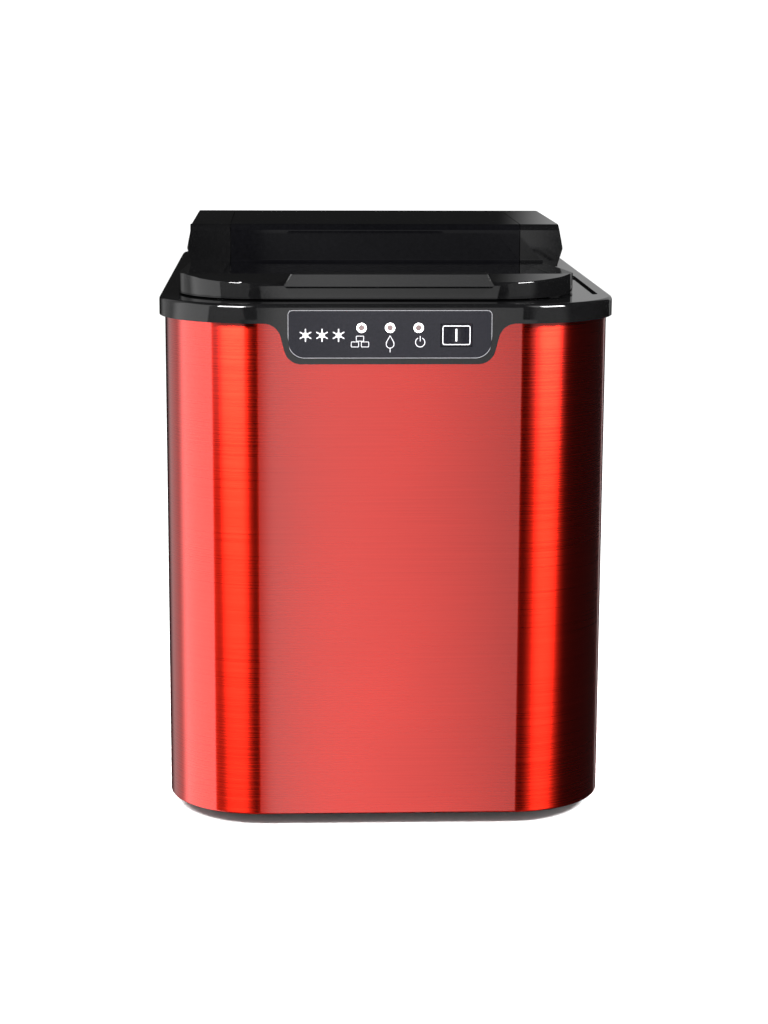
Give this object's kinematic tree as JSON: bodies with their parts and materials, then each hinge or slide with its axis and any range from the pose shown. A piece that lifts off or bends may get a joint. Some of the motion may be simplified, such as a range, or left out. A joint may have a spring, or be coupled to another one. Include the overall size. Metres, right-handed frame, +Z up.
{
  "type": "countertop ice maker",
  "caption": "Countertop ice maker with a red brushed wrap, gloss black cover and control tab, smoked-window lid, swinging tray, basket, compressor, condenser and fan.",
  "frame": {"origin": "on the floor, under the centre of the plan", "axes": "+Z up, front with the control tab faces -Y, +X to the right seen from the front"},
  "size_m": [0.242, 0.358, 0.307],
  "materials": {
    "red_brushed": "horizontally brushed sheet under a clear red coat",
    "gloss_black": "high gloss moulded",
    "smoked_window": "transparent smoked, polished",
    "panel_film": "dark grey printed film",
    "white_plastic": "smooth",
    "clear_lens": "milky lens",
    "black_plastic": "fine texture",
    "rubber_black": "matt",
    "liner_plastic": "smooth food-grade",
    "basket_clear": "translucent blue-grey",
    "foam": "closed-cell foam",
    "pale_hose": "silicone, satin",
    "circuit_board": "solder mask",
    "bright_steel": "bright zinc",
    "fin_aluminium": "mill",
    "copper": "drawn copper",
    "plated_fingers": "nickel plated",
    "compressor_black": "black stoved enamel"
  },
  "bodies": {
    "case": {"outer_shell": "red_brushed", "base_tray": "black_plastic", "feet": "rubber_black", "rear_panel": "black_plastic", "cord_gland": "black_plastic", "exhaust_grille": "black_plastic", "top_cover": "gloss_black", "panel_overlay": "panel_film", "led_rings": "white_plastic", "led_lenses": "clear_lens", "control_pcb": "circuit_board", "tact_switch": "black_plastic", "inner_liner": "liner_plastic", "inner_cover": "black_plastic", "insulation": "foam", "inlet_strainer": "bright_steel", "level_probes": "bright_steel", "ice_sensor": "black_plastic", "ice_chute": "liner_plastic", "tray_motor": "black_plastic", "evap_brackets": "liner_plastic", "evaporator": "plated_fingers", "fill_spout": "liner_plastic", "water_pump": "black_plastic", "water_hose": "pale_hose", "drain_spigot": "liner_plastic", "compressor": "compressor_black", "terminal_box": "black_plastic", "grommets": "rubber_black", "condenser_fins": "fin_aluminium", "condenser_tube": "copper", "fan_shroud": "black_plastic", "fan_motor": "black_plastic", "filter_drier": "copper", "hot_gas_valve": "copper", "discharge_line": "copper", "suction_line": "copper", "liquid_line": "copper", "power_board": "circuit_board", "panel_screws": "bright_steel", "hinge_pins": "bright_steel"},
    "lid": {"lid_frame": "gloss_black", "lid_window": "smoked_window", "lid_handle": "gloss_black", "lid_bumpers": "rubber_black"},
    "power_key": {"power_button": "panel_film"},
    "tray": {"water_tray": "liner_plastic", "ice_shovel": "liner_plastic", "tray_shaft": "bright_steel"},
    "fan": {"fan_blade": "fin_aluminium"},
    "basket": {"ice_basket": "basket_clear"},
    "cap": {"drain_cap": "black_plastic"}
  },
  "joints": [
    {"name": "lid_hinge", "type": "hinge", "parent": "case", "child": "lid", "pos_m": [0, 0.163, 0.2875], "axis": [-1, 0, 0], "range_deg": [0, 85]},
    {"name": "power_key_press", "type": "slide", "parent": "case", "child": "power_key", "axis": [0, 1, 0], "range_m": [0, 0.0015], "stiffness_N_per_m": 400, "springref_m": -0.001},
    {"name": "tray_swing", "type": "hinge", "parent": "case", "child": "tray", "pos_m": [0, 0.062, 0.248], "axis": [1, 0, 0], "range_deg": [0, 75]},
    {"name": "fan_spin", "type": "hinge", "parent": "case", "child": "fan", "pos_m": [-0.085, 0.1, 0.0949], "axis": [1, 0, 0], "continuous": true},
    {"name": "basket_lift", "type": "slide", "parent": "case", "child": "basket", "axis": [0, 0, 1], "range_m": [0, 0.07]},
    {"name": "drain_cap_pull", "type": "slide", "parent": "case", "child": "cap", "axis": [1, 0, 0], "range_m": [0, 0.03]}
  ]
}
